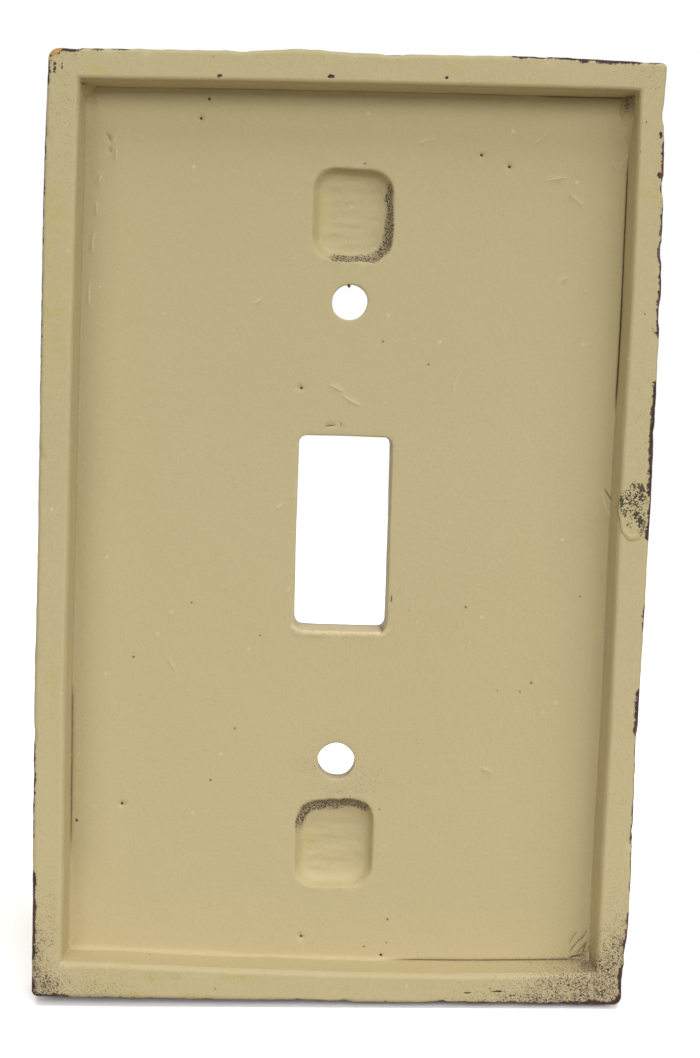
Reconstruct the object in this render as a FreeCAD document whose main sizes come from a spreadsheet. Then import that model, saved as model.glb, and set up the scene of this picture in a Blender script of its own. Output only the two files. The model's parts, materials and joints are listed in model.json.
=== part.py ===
import FreeCAD, Part
import Sketcher
import math
import os

# A single-gang toggle switch wall plate, upright as on a wall.
# X runs across the plate, Z up it and Y through it: the decorated front faces -Y, the wall is at +Y.
# The origin is midway between the two plate screws, on the back face of the face panel.

SIZES = [
    # overall
    ("plate_width", 79.4, "outline across at the front, before its edge is rounded"),
    ("plate_height", 123.8, "outline up at the front, before its edge is rounded"),
    ("side_draft", 0.6, "how far each outer side leans in from front to back"),
    ("corner_radius", 2.0, "outer corners of the frame"),
    # frame
    ("rim_width", 3.8, "width of the frame's back edge along the sides"),
    ("rail_width", 3.95, "width of the frame's back edge along top and bottom"),
    ("recess_depth", 5.4, "from the frame's back edge down to the panel"),
    ("front_step", 1.6, "from the panel's front face out to the frame's front"),
    ("lip_width", 3.2, "how far the front lip covers the panel's edge"),
    ("front_round", 1.3, "rounding of the frame's front outer edge"),
    ("lip_bevel", 1.0, "bevel on the front lip's inner edge"),
    # panel
    ("panel_thickness", 4.4, "thickness of the face panel"),
    ("panel_clearance", 0.1, "gap round the panel inside the frame"),
    # toggle slot
    ("slot_width", 12.2, "toggle slot across"),
    ("slot_height", 25.6, "toggle slot up"),
    ("slot_radius", 1.0, "corner radius of the toggle slot"),
    ("slot_bevel", 0.6, "bevel round the toggle slot's front"),
    # plate screws
    ("screw_spacing", 60.325, "between the two plate screws, 2.375 inches"),
    ("screw_hole", 4.6, "diameter of a plate screw's hole"),
    ("sink_diameter", 7.8, "diameter of the countersink at the front"),
    ("sink_angle", 82.0, "included angle of the countersink"),
    # blind pockets for the heads of the box screws
    ("pocket_spacing", 83.34, "between the two box screws, 3.281 inches"),
    ("pocket_width", 10.2, "pocket across"),
    ("pocket_height", 11.7, "pocket up"),
    ("pocket_depth", 2.0, "pocket depth into the panel's back"),
    ("pocket_radius", 3.0, "corner radius of a pocket"),
    ("pocket_fillet", 1.0, "fillet round a pocket's floor"),
    # oval patch let into the frame's back edge
    ("patch_margin", 0.4, "frame left on each side of the patch"),
    ("patch_length", 7.3, "patch up"),
    ("patch_depth", 1.2, "depth of the patch"),
    ("patch_raise", 4.7, "height of the patch's middle above the origin"),
    ("patch_clearance", 0.05, "gap round the patch in its socket"),
    # filler in the inner corners
    ("filler_reach", 2.2, "how far a smear reaches from the side wall on to the panel"),
    ("filler_height", 2.4, "how far a smear climbs the walls"),
    ("filler_tip", 0.3, "width of a smear at its upper edge"),
    ("filler_run_long", 6.4, "longest smear, down the side wall"),
    ("filler_run_short", 2.8, "shorter smears, down the side wall"),
]
VALUE = {alias: number for alias, number, note in SIZES}

SAME_PLACE = 1e-4       # two places nearer than this are one
LEAST_CUT = 0.01        # a cut that removes less than this many mm3 has missed

# Sizes that follow from the driving ones, as formulas for the sheet.
BACK_WIDTH = "( plate_width - 2 * side_draft )"
BACK_HEIGHT = "( plate_height - 2 * side_draft )"
FRAME_DEPTH = "( recess_depth + panel_thickness + front_step )"
WELL_WIDTH = "( %s - 2 * rim_width )" % BACK_WIDTH
WELL_HEIGHT = "( %s - 2 * rail_width )" % BACK_HEIGHT
WINDOW_WIDTH = "( %s - 2 * lip_width )" % WELL_WIDTH
WINDOW_HEIGHT = "( %s - 2 * lip_width )" % WELL_HEIGHT
PATCH_WIDTH = "( rim_width - 2 * patch_margin )"
PATCH_X = "( ( plate_width - rim_width ) / 2 - side_draft )"

doc = FreeCAD.newDocument("toggle_wall_plate")


def write_sheet():
    """Put every driving size in the spreadsheet, with its alias and what it is."""
    sheet = doc.addObject("Spreadsheet::Sheet", "Sizes")
    for row, (alias, number, note) in enumerate(SIZES, start=1):
        sheet.set("A%d" % row, alias)
        sheet.set("B%d" % row, str(number))
        sheet.set("C%d" % row, note)
        sheet.setAlias("B%d" % row, alias)
    doc.recompute()


def expression(formula):
    """A formula of aliases, numbers and signs, as an expression that reads the sheet."""
    words = ["Sizes." + word if word in VALUE else word for word in formula.split()]
    return " ".join(words)


def worked_out(formula):
    """The number that a formula gives, to draw a sketch where its constraints will hold it."""
    words = [str(VALUE.get(word, word)) for word in formula.split()]
    return FreeCAD.Units.Quantity(" ".join(words)).Value


def bind(item, prop, formula):
    """Make a property follow a formula."""
    item.setExpression(prop, expression(formula))


# ---------------------------------------------------------------- sketches

def new_body(label):
    body = doc.addObject("PartDesign::Body", label)
    body.Label = label
    body.Placement = FreeCAD.Placement()
    return body


def new_sketch(body, name, forward):
    """A sketch on the body's XZ plane, moved forward (towards -Y) by a formula."""
    plane = [item for item in body.Origin.OriginFeatures if item.Role == "XZ_Plane"][0]
    sketch = body.newObject("Sketcher::SketchObject", name)
    sketch.AttachmentSupport = [(plane, "")]
    sketch.MapMode = "FlatFace"
    bind(sketch, "AttachmentOffset.Base.z", forward)
    return sketch


def hold(sketch, kind, *where):
    """Add a constraint that has no size."""
    sketch.addConstraint(Sketcher.Constraint(kind, *where))


def measure(sketch, kind, where, formula):
    """Add a constraint whose size follows a formula."""
    number = worked_out(formula)
    index = sketch.addConstraint(Sketcher.Constraint(kind, *where, number))
    bind(sketch, "Constraints[%d]" % index, formula)


def line(sketch, start, end):
    first = FreeCAD.Vector(start[0], start[1], 0)
    last = FreeCAD.Vector(end[0], end[1], 0)
    return sketch.addGeometry(Part.LineSegment(first, last), False)


def arc(sketch, centre, radius, start, end):
    circle = Part.Circle(FreeCAD.Vector(centre[0], centre[1], 0), FreeCAD.Vector(0, 0, 1), radius)
    turn = Part.ArcOfCircle(circle, math.radians(start), math.radians(end))
    return sketch.addGeometry(turn, False)


def centre_point(sketch, across, up):
    """A construction point at two formulas; "0" keeps it on that axis."""
    x, z = worked_out(across), worked_out(up)
    point = sketch.addGeometry(Part.Point(FreeCAD.Vector(x, z, 0)), True)
    for kind, axis, place, formula in (("DistanceX", -2, x, across), ("DistanceY", -1, z, up)):
        if formula == "0":
            hold(sketch, "PointOnObject", point, 1, axis)
        elif place > 0:
            measure(sketch, kind, (-1, 1, point, 1), formula)
        else:
            measure(sketch, kind, (point, 1, -1, 1), "0 - ( %s )" % formula)
    return point


def draw_rectangle(sketch, width, height):
    """A rectangle centred on the sketch's origin."""
    a, b = worked_out(width) / 2, worked_out(height) / 2
    corners = [(-a, -b), (a, -b), (a, b), (-a, b)]
    sides = [line(sketch, corners[i], corners[(i + 1) % 4]) for i in range(4)]
    for i in range(4):
        hold(sketch, "Coincident", sides[i], 2, sides[(i + 1) % 4], 1)
    for i in (0, 2):
        hold(sketch, "Horizontal", sides[i])
        hold(sketch, "Vertical", sides[i + 1])
    hold(sketch, "Symmetric", sides[0], 1, sides[2], 1, -1, 1)
    measure(sketch, "DistanceX", (sides[0], 1, sides[0], 2), width)
    measure(sketch, "DistanceY", (sides[1], 1, sides[1], 2), height)


def draw_rounded_rectangle(sketch, width, height, radius, up="0"):
    """A rectangle with rounded corners, on the plate's centre line at height up."""
    a, b, r = worked_out(width) / 2, worked_out(height) / 2, worked_out(radius)
    z = worked_out(up)
    ends = [((r - a, z - b), (a - r, z - b)), ((a, z - b + r), (a, z + b - r)),
            ((a - r, z + b), (r - a, z + b)), ((-a, z + b - r), (-a, z - b + r))]
    sides = [line(sketch, start, end) for start, end in ends]
    centres = [(a - r, z - b + r), (a - r, z + b - r), (r - a, z + b - r), (r - a, z - b + r)]
    turns = [arc(sketch, centres[i], r, 90 * i - 90, 90 * i) for i in range(4)]
    for i in range(4):
        hold(sketch, "Tangent", sides[i], 2, turns[i], 1)
        hold(sketch, "Tangent", turns[i], 2, sides[(i + 1) % 4], 1)
    hold(sketch, "Horizontal", sides[0])
    hold(sketch, "Vertical", sides[1])
    for i in (1, 2, 3):
        hold(sketch, "Equal", turns[0], turns[i])
    middle = centre_point(sketch, "0", up)
    hold(sketch, "Symmetric", turns[0], 3, turns[2], 3, middle, 1)
    measure(sketch, "Radius", (turns[0],), radius)
    measure(sketch, "DistanceX", (turns[0], 3, turns[3], 3), "2 * %s - %s" % (radius, width))
    measure(sketch, "DistanceY", (turns[0], 3, turns[1], 3), "%s - 2 * %s" % (height, radius))


def draw_oval(sketch, width, length, across, up):
    """Two half circles joined by straight sides, standing upright."""
    r, x, z = worked_out(width) / 2, worked_out(across), worked_out(up)
    b = worked_out(length) / 2 - r
    top = arc(sketch, (x, z + b), r, 0, 180)
    bottom = arc(sketch, (x, z - b), r, 180, 360)
    left = line(sketch, (x - r, z + b), (x - r, z - b))
    right = line(sketch, (x + r, z - b), (x + r, z + b))
    for first, second in ((top, left), (left, bottom), (bottom, right), (right, top)):
        hold(sketch, "Tangent", first, 2, second, 1)
    hold(sketch, "Vertical", left)
    hold(sketch, "Equal", top, bottom)
    middle = centre_point(sketch, across, up)
    hold(sketch, "Symmetric", top, 3, bottom, 3, middle, 1)
    measure(sketch, "Radius", (top,), "%s / 2" % width)
    measure(sketch, "DistanceY", (bottom, 3, top, 3), "%s - %s" % (length, width))


def draw_circle(sketch, diameter, up):
    circle = Part.Circle(FreeCAD.Vector(0, worked_out(up), 0), FreeCAD.Vector(0, 0, 1),
                         worked_out(diameter) / 2)
    ring = sketch.addGeometry(circle, False)
    middle = centre_point(sketch, "0", up)
    hold(sketch, "Coincident", ring, 3, middle, 1)
    measure(sketch, "Diameter", (ring,), diameter)


# ---------------------------------------------------------------- features

def pad(body, sketch, length):
    """Grow the sketch forward, towards -Y."""
    feature = body.newObject("PartDesign::Pad", sketch.Name + "_pad")
    feature.Profile = sketch
    bind(feature, "Length", length)
    doc.recompute()
    return feature


def must_have_cut(body, before):
    """Stop if the newest feature didn't take material away."""
    if body.Shape.Volume > before - LEAST_CUT:
        raise RuntimeError("%s cuts nothing" % body.Tip.Name)


def cut(body, sketch, length=None):
    """Cut the sketch forward, towards -Y, by a length or right through."""
    before = body.Shape.Volume
    feature = body.newObject("PartDesign::Pocket", sketch.Name + "_cut")
    feature.Profile = sketch
    feature.Reversed = True
    if length is None:
        feature.Type = "ThroughAll"
    else:
        bind(feature, "Length", length)
    doc.recompute()
    must_have_cut(body, before)


def dress(body, kind, name, chosen, prop, formula):
    """Fillet or chamfer the chosen edges of the body so far."""
    base = body.Tip
    edges = ["Edge%d" % (i + 1) for i, edge in enumerate(base.Shape.Edges) if chosen(edge)]
    feature = body.newObject(kind, name)
    feature.Base = (base, edges)
    bind(feature, prop, formula)
    doc.recompute()


def at_depth(edge, y):
    """True where the whole edge lies in the plane at y."""
    box = edge.BoundBox
    return abs(box.YMin - y) < SAME_PLACE and abs(box.YMax - y) < SAME_PLACE


def through_plate(edge):
    """True for an edge that runs from the back to the front."""
    return edge.BoundBox.YLength > SAME_PLACE


def within(edge, width, height):
    """True where the whole edge lies in a centred rectangle, its border included."""
    box = edge.BoundBox
    half_width = worked_out(width) / 2 + SAME_PLACE
    half_height = worked_out(height) / 2 + SAME_PLACE
    across = max(abs(box.XMin), abs(box.XMax))
    up = max(abs(box.ZMin), abs(box.ZMax))
    return across < half_width and up < half_height


# ---------------------------------------------------------------- sub-parts

def make_rim_frame():
    """Frame with drafted sides, a well open at the back, and a lip that carries the panel's edge."""
    body = new_body("rim_frame")
    outline = new_sketch(body, "frame_outline", "0 - recess_depth")
    draw_rectangle(outline, BACK_WIDTH, BACK_HEIGHT)
    block = pad(body, outline, FRAME_DEPTH)
    bind(block, "TaperAngle", "atan( side_draft / %s )" % FRAME_DEPTH)
    doc.recompute()
    dress(body, "PartDesign::Fillet", "outer_corners",
          through_plate, "Radius", "corner_radius")

    well = new_sketch(body, "well", "0 - recess_depth")
    draw_rectangle(well, WELL_WIDTH, WELL_HEIGHT)
    cut(body, well, "recess_depth + panel_thickness")

    window = new_sketch(body, "window", "0 - recess_depth")
    draw_rectangle(window, WINDOW_WIDTH, WINDOW_HEIGHT)
    cut(body, window)

    socket = new_sketch(body, "patch_socket", "0 - recess_depth")
    draw_oval(socket, "( %s + 2 * patch_clearance )" % PATCH_WIDTH,
              "( patch_length + 2 * patch_clearance )", "0 - " + PATCH_X, "patch_raise")
    cut(body, socket, "patch_depth")

    front = worked_out("0 - panel_thickness - front_step")
    dress(body, "PartDesign::Fillet", "front_bead",
          lambda edge: at_depth(edge, front) and not within(edge, WELL_WIDTH, WELL_HEIGHT),
          "Radius", "front_round")
    dress(body, "PartDesign::Chamfer", "lip_bevels",
          lambda edge: at_depth(edge, front) and within(edge, WINDOW_WIDTH, WINDOW_HEIGHT),
          "Size", "lip_bevel")
    return body


def make_face_panel():
    """Flat panel with the toggle slot, two countersunk holes and two blind pockets in its back."""
    body = new_body("face_panel")
    outline = new_sketch(body, "panel_outline", "0")
    draw_rectangle(outline, WELL_WIDTH + " - 2 * panel_clearance",
                   WELL_HEIGHT + " - 2 * panel_clearance")
    pad(body, outline, "panel_thickness")

    slot = new_sketch(body, "toggle_slot", "0")
    draw_rounded_rectangle(slot, "slot_width", "slot_height", "slot_radius")
    cut(body, slot)
    front = worked_out("0 - panel_thickness")
    dress(body, "PartDesign::Chamfer", "slot_bevels",
          lambda edge: at_depth(edge, front) and within(edge, "slot_width", "slot_height"),
          "Size", "slot_bevel")

    pockets = new_sketch(body, "box_screw_pockets", "0")
    for side in ("", "0 - "):
        draw_rounded_rectangle(pockets, "pocket_width", "pocket_height", "pocket_radius",
                               side + "pocket_spacing / 2")
    cut(body, pockets, "pocket_depth")
    floor = worked_out("0 - pocket_depth")
    dress(body, "PartDesign::Fillet", "pocket_floors", lambda edge: at_depth(edge, floor),
          "Radius", "pocket_fillet")

    drill_screw_holes(body)
    return body


def drill_screw_holes(body):
    """Two through holes, countersunk from the front."""
    centres = new_sketch(body, "screw_holes", "panel_thickness")
    for side in ("", "0 - "):
        draw_circle(centres, "screw_hole", side + "screw_spacing / 2")
    doc.recompute()
    before = body.Shape.Volume
    hole = body.newObject("PartDesign::Hole", "plate_screw_holes")
    hole.Profile = centres
    hole.ThreadType = "None"
    hole.DepthType = "ThroughAll"
    bind(hole, "Diameter", "screw_hole")
    hole.HoleCutType = "Countersink"
    hole.HoleCutCustomValues = True
    bind(hole, "HoleCutDiameter", "sink_diameter")
    bind(hole, "HoleCutCountersinkAngle", "sink_angle")
    doc.recompute()
    must_have_cut(body, before)


def make_filler_patch():
    """Oval plug, flush with the frame's back edge."""
    body = new_body("filler_patch")
    outline = new_sketch(body, "patch_outline", "0 - recess_depth")
    draw_oval(outline, PATCH_WIDTH, "patch_length", "0 - " + PATCH_X, "patch_raise")
    pad(body, outline, "patch_depth")
    return body


def make_corner_filler():
    """Smears of filler that lie on the panel and climb the frame's walls in three corners."""
    half_width = WELL_WIDTH + " / 2"
    half_height = WELL_HEIGHT + " / 2"
    corners = [("upper_long", -1, 1, "filler_run_long"), ("lower_far", -1, -1, "filler_run_short"),
               ("upper_near", 1, 1, "filler_run_short")]
    smears = []
    for name, x_side, z_side, run in corners:
        smear = doc.addObject("Part::Wedge", name)
        bind(smear, "Ymin", "0")
        bind(smear, "Ymax", "filler_height")
        set_span(smear, "X", x_side, half_width, "filler_reach", "filler_tip")
        set_span(smear, "Z", z_side, half_height, run, "filler_reach")
        smears.append(smear)
    group = doc.addObject("Part::Compound", "corner_filler")
    group.Label = "corner_filler"
    group.Links = smears
    group.Placement = FreeCAD.Placement()
    doc.recompute()
    return group


def set_span(smear, axis, side, wall, foot, tip):
    """Along one axis, run from the wall inwards: foot long on the panel, tip long at the top."""
    base_wall, base_end = ("max", "min") if side > 0 else ("min", "max")
    sign = "" if side > 0 else "0 - "
    for prefix, length in ((axis, foot), (axis + "2", tip)):
        bind(smear, prefix + base_wall, "%s( %s )" % (sign, wall))
        bind(smear, prefix + base_end, "%s( %s - %s )" % (sign, wall, length))


# ---------------------------------------------------------------- build, check and write

def check(parts):
    """Stop if any object failed or any sub-part isn't a sound solid."""
    for item in doc.Objects:
        if "Invalid" in item.State or "Error" in item.State:
            raise RuntimeError("%s failed: %s" % (item.Label, item.State))
    for part in parts:
        if part.Shape.isNull() or not part.Shape.isValid() or not part.Shape.Solids:
            raise RuntimeError("%s has no sound solid" % part.Label)


def write(parts):
    os.makedirs("parts", exist_ok=True)
    for part in parts:
        part.Shape.exportStep("parts/%s.step" % part.Label)
        box = part.Shape.BoundBox
        print("%-14s %2d solid  %9.2f mm3  x %.2f..%.2f  y %.2f..%.2f  z %.2f..%.2f" % (
            part.Label, len(part.Shape.Solids), part.Shape.Volume,
            box.XMin, box.XMax, box.YMin, box.YMax, box.ZMin, box.ZMax))


write_sheet()
all_parts = [make_rim_frame(), make_face_panel(), make_filler_patch(), make_corner_filler()]
doc.recompute()
check(all_parts)
write(all_parts)
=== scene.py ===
import json
import math

import bmesh
import bpy
import numpy as np
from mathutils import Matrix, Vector
from mathutils.geometry import delaunay_2d_cdt


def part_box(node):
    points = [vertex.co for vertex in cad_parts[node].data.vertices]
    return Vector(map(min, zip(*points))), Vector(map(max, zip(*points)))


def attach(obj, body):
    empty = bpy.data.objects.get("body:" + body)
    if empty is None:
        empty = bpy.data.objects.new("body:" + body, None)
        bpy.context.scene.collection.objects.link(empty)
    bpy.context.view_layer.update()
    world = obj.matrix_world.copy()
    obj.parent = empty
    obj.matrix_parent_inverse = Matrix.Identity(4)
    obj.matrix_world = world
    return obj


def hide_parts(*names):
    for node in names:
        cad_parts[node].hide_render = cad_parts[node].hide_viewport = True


# A decorative toggle switch wall plate, seen from its back. Lengths here are millimetres, and are
# turned to metres where a mesh, light or camera is made. X runs across the plate and Z up it. The
# back, which lies on the wall, faces +Y, so what is on the right when seen from there is at -X.

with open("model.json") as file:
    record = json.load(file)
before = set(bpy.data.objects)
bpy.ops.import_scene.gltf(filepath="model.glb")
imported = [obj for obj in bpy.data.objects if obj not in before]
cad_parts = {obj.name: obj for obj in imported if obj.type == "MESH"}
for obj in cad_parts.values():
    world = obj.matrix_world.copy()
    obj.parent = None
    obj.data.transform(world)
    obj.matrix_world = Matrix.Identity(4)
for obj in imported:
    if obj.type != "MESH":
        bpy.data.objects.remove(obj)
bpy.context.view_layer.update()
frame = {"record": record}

MM = 0.001

# ---- sizes, from the frame
frame_low, frame_high = [np.array(corner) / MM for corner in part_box("rim_frame")]
panel_low, panel_high = [np.array(corner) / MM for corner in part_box("face_panel")]
patch_low, patch_high = [np.array(corner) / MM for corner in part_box("filler_patch")]

PANEL_CLEARANCE = 0.1
RIM_WIDTH = 3.8
RAIL_WIDTH = 3.95
LIP_WIDTH = 3.2
WELL_X = panel_high[0] + PANEL_CLEARANCE
WELL_Z = panel_high[2] + PANEL_CLEARANCE
BACK_X, BACK_Z = WELL_X + RIM_WIDTH, WELL_Z + RAIL_WIDTH
FRONT_X, FRONT_Z = frame_high[0], frame_high[2]
BACK_Y, FRONT_Y = frame_high[1], frame_low[1]
PANEL_Y = panel_low[1]

mounts = {mount["name"]: mount for mount in frame["record"]["mounts"]}
openings = {opening["name"]: opening for opening in frame["record"]["physics"]["openings"]}
SLOT_MARGIN = 0.4
slot_corner = openings["toggle_slot"]["box_m"][1]
SLOT_HALF = (slot_corner[0] / MM + SLOT_MARGIN, slot_corner[2] / MM + SLOT_MARGIN)
SLOT_RADIUS = 1
SLOT_BEVEL = 0.6
WELL_RADIUS = 0.3
SCREW_Z = mounts["device_screws"]["dims"]["spacing_y_mm"] / 2
SCREW_RADIUS = mounts["device_screws"]["dims"]["hole_r_mm"]
SINK_RADIUS = 3.9
SINK_DEPTH = 1.84
POCKET_HALF = (5.25, 5.95)
POCKET_Z = 41.3
POCKET_RADIUS = 3
POCKET_LEAN = 0.04

# The lower hole (-1) is drilled a little large.
HOLE_RADIUS = {1: SCREW_RADIUS, -1: SCREW_RADIUS + 0.14}

# A plate's corners in order round it, as the signs of x and z.
CORNERS = [(1, 1), (-1, 1), (-1, -1), (1, -1)]

# The paint on the patch stands this far above the rest of the rim.
PATCH_RISE = 0.16

# How far the inner wall leans in at its foot, and how round the back's two edges are.
FOOT_IN = 0.34
ROUND_IN, ROUND_OUT = 0.55, 0.55


# ---- noise and small helpers

def hashed(ix, iy, iz, seed):
    """A repeatable number from -1 to 1 for each whole-number place."""
    word = (ix * 374761393 + iy * 668265263 + iz * 1440662683 + seed * 1274126177) & 0xFFFFFFFF
    word = ((word ^ (word >> 13)) * 1274126177) & 0xFFFFFFFF
    word = ((word ^ (word >> 15)) * 2246822519) & 0xFFFFFFFF
    return (word ^ (word >> 16)) / 0x7FFFFFFF - 1


def lumps(points, size, seed):
    """Smooth noise from -1 to 1 at points of shape (n, 3), with lumps of about that size."""
    scaled = points / size + 1000
    whole = np.floor(scaled).astype(np.int64)
    part = scaled - whole
    part = part * part * (3 - 2 * part)
    total = np.zeros(len(points))
    for corner in range(8):
        step = np.array([corner & 1, corner >> 1 & 1, corner >> 2 & 1])
        weight = np.prod(np.where(step, part, 1 - part), axis=1)
        total += weight * hashed(*(whole + step).T, seed)
    return total


def grain(points, size, seed, layers=3):
    """Noise with finer layers on top, from about -1 to 1."""
    total, height = np.zeros(len(points)), 1
    for layer in range(layers):
        total += height * lumps(points, size / 2 ** layer, seed + layer)
        height /= 2
    return total / 1.6


def ramp(value, low, high):
    """0 at low, 1 at high, and smooth between; low may be above high."""
    share = np.clip((value - low) / (high - low), 0, 1)
    return share * share * (3 - 2 * share)


def stretch(value, start, end, soft):
    """1 between start and end, fading to 0 over soft outside them."""
    return ramp(value, start - soft, start) * ramp(value, end + soft, end)


def blob(points, x, z, wide, tall):
    """1 at a place on the plate, fading to 0 at wide across and tall up from it."""
    away = np.hypot((points[:, 0] - x) / wide, (points[:, 2] - z) / tall)
    return ramp(away, 1, 0)


def box_gap(x, z, half_x, half_z, radius):
    """Distance outside (+) or inside (-) a rounded rectangle centred on the origin."""
    qx, qz = np.abs(x) - half_x + radius, np.abs(z) - half_z + radius
    outside = np.hypot(np.maximum(qx, 0), np.maximum(qz, 0))
    return outside + np.minimum(np.maximum(qx, qz), 0) - radius


def flat(x, z, y=0):
    """Points of shape (n, 3) from places on the plate."""
    return np.stack([x, np.full(np.shape(x), y), z], axis=1)


def slot_gap(x, z):
    """Distance out from the slot's edge."""
    return box_gap(x, z, *SLOT_HALF, SLOT_RADIUS)


def foot_gap(x, z):
    """Distance in from the foot of the frame's inner walls."""
    return -box_gap(x, z, WELL_X - FOOT_IN, WELL_Z - FOOT_IN, WELL_RADIUS)


def from_screw(x, z, side):
    """Distance from the middle of the upper (1) or lower (-1) screw hole."""
    return np.hypot(x, z - side * SCREW_Z)


def under_slot(z):
    """1 at the slot's lower edge and below it, 0 above."""
    return ramp(z, -SLOT_HALF[1] + 0.8, -SLOT_HALF[1] - 0.1)


def full_turn(steps):
    """Angles evenly spread over one turn."""
    return np.linspace(0, 2 * np.pi, steps, endpoint=False)


# ---- the hand-made outline

# How far each side's edge lies outside its true line, at places along it. Left and right are as
# seen from the back, and run up the plate; top and bottom run along X.
OUTER_EDGE = {
    "left": [(-60, 0), (-22, 0.25), (0, 0.05), (42, 0.05), (54, -0.2), (60, -0.45)],
    "right": [(-60, -0.7), (-50, -0.15), (-20, -0.05), (6, 0.28), (30, 0.4), (46, 0.1), (57, -0.3),
              (61, -0.1)],
    "top": [(-38, -0.15), (-24, 0.2), (-4, -0.15), (1, -0.1), (7, 0.2), (13, -0.3), (32, -0.55),
            (38, -0.7)],
    "bottom": [(-37, -0.45), (-16, -0.1), (10, 0.1), (36, 0.3)],
}
INNER_EDGE = {
    "left": [(-50, -0.1), (-22, 0.1), (29, -0.2), (50, -0.5)],
    "right": [(-50, -0.4), (-20, 0), (6, 0), (31, 0.42), (52, 0.4)],
    "top": [(-34, 0.3), (-12, 0.15), (13, -0.15), (32, -0.5)],
    "bottom": [(-34, -0.65), (-16, 0), (-3, 0.1), (12, 0), (30, -0.5)],
}


def edge_shift(edges, side, place):
    """How far a side lies outside its true line at a place, eased between its knots."""
    knots = edges[side]
    fine = np.linspace(knots[0][0], knots[-1][0], 200)
    line = np.interp(fine, *np.array(knots).T)
    window = np.hanning(19)[1:-1]
    smooth = np.convolve(np.pad(line, 8, mode="edge"), window / window.sum(), "valid")
    return np.interp(place, fine, smooth)


def wander(points, outer_share):
    """Move points with the hand-made outline. outer_share is 0 at the well's wall, 1 outside."""
    x, y, z = points.T
    depth = ramp(y, FRONT_Y + 1.2, -1)
    directions = ((0, z, BACK_X, ("left", "right")), (2, x, BACK_Z, ("top", "bottom")))
    for axis, place, half, sides in directions:
        across = points[:, axis] / half
        for side, sign in zip(sides, (1, -1)):
            outer = edge_shift(OUTER_EDGE, side, place)
            inner = edge_shift(INNER_EDGE, side, place)
            shift = outer_share * outer + (1 - outer_share) * inner
            on_side = np.where(across * sign > 0, np.abs(across), 0)
            points[:, axis] += sign * depth * shift * on_side
    return points


# ---- meshes

def add_object(name, data):
    """A new object in the scene."""
    thing = bpy.data.objects.new(name, data)
    bpy.context.collection.objects.link(thing)
    return thing


def make_mesh(name, points, faces, marks=None):
    """A mesh object from points in mm, with marks from 0 to 1 at each point."""
    mesh = bpy.data.meshes.new(name)
    mesh.from_pydata((points * MM).tolist(), [], faces)
    mesh.update()
    for mark, values in (marks or {}).items():
        layer = mesh.attributes.new(mark, "FLOAT", "POINT")
        layer.data.foreach_set("value", np.clip(values, 0, 1).astype(np.float32))
    mesh.polygons.foreach_set("use_smooth", [True] * len(mesh.polygons))
    return add_object(name, mesh)


def closed_mesh(name, points, faces, marks, gap=0):
    """A closed mesh object: near points are joined, and every face turns outwards."""
    piece = make_mesh(name, points, faces, marks)
    work = bmesh.new()
    work.from_mesh(piece.data)
    bmesh.ops.remove_doubles(work, verts=work.verts, dist=gap * MM)
    bmesh.ops.recalc_face_normals(work, faces=work.faces)
    work.to_mesh(piece.data)
    work.free()
    return piece


def ring_faces(around, along, closed=False):
    """Quads of a grid that closes on itself around."""
    faces = []
    for j in range(along if closed else along - 1):
        k = (j + 1) % along
        for i in range(around):
            n = (i + 1) % around
            faces.append((j * around + i, j * around + n, k * around + n, k * around + i))
    return faces


def joined(parts):
    """Several (points, faces) as one."""
    faces, first = [], 0
    for points, part_faces in parts:
        faces += [tuple(first + i for i in face) for face in part_faces]
        first += len(points)
    return np.concatenate([points for points, part_faces in parts]), faces


# ---- paint marks, by place

# Where the khaki has worn off the frame's back edge: side, from, to, and how far in, in mm.
WORN_EDGES = [
    ("right", 4.5, 21, 0.38), ("right", 1, 4, 0.25), ("right", 27, 43, 0.16), ("right", 47, 51, 0.2),
    ("right", -11, -8, 0.12), ("right", -24.5, -19, 0.42), ("right", -46, -28, -0.05),
    ("right", -54, -49, 0.22), ("right", -62, -56, 0.5), ("top", -35.4, -30, 0.34), ("top", -29, -20, 0.1),
    ("top", 35, 38, 0.12), ("top", 29, 31, 0), ("top", -38, -37, 0), ("left", 57, 59.5, 0.12),
    ("left", 18, 52, -0.1), ("left", -56, -45, 0.34), ("left", -40, -28, -0.02), ("left", -61, -59, 0.2),
    ("bottom", -38, -15, 0.2), ("bottom", -14, 36, -0.12),
]
# How far out the wear's edge lies elsewhere.
UNWORN = -0.62

# Where the khaki has chipped off the frame's back: x, z, half width, half height, how bare.
CHIPS = [
    (38.7, 60.9, 2.2, 1.3, 1), (38.3, 58.9, 0.5, 1.7, 0.72), (37.4, 58.9, 0.35, 1.2, 0.7),
    (36, 60.9, 2, 0.5, 0.8), (33, 61.1, 2, 0.5, 0.75), (-28.5, 61.2, 1.3, 1.1, 1),
    (-36.3, 53.7, 0.25, 0.3, 0.9), (-38.5, 52.2, 0.6, 1, 0.8), (-38.4, 47.2, 0.6, 0.7, 0.9),
    (-38.8, 45.6, 0.5, 1.3, 0.8), (-38.2, 27.8, 0.5, 0.5, 0.95), (-22.3, -59.5, 1.6, 0.26, 0.95),
    (-21.2, -59.2, 0.5, 0.6, 0.9), (17.4, 58, 0.7, 0.6, 1), (3.3, 58.2, 0.8, 0.7, 1),
    (-11.2, 58.4, 0.6, 0.5, 0.9), (-18.4, -59.7, 1.2, 0.28, 0.9), (-24.5, -60, 1, 0.25, 0.85),
    (-38.6, -60.4, 1, 1.2, 0.8),
]

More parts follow.
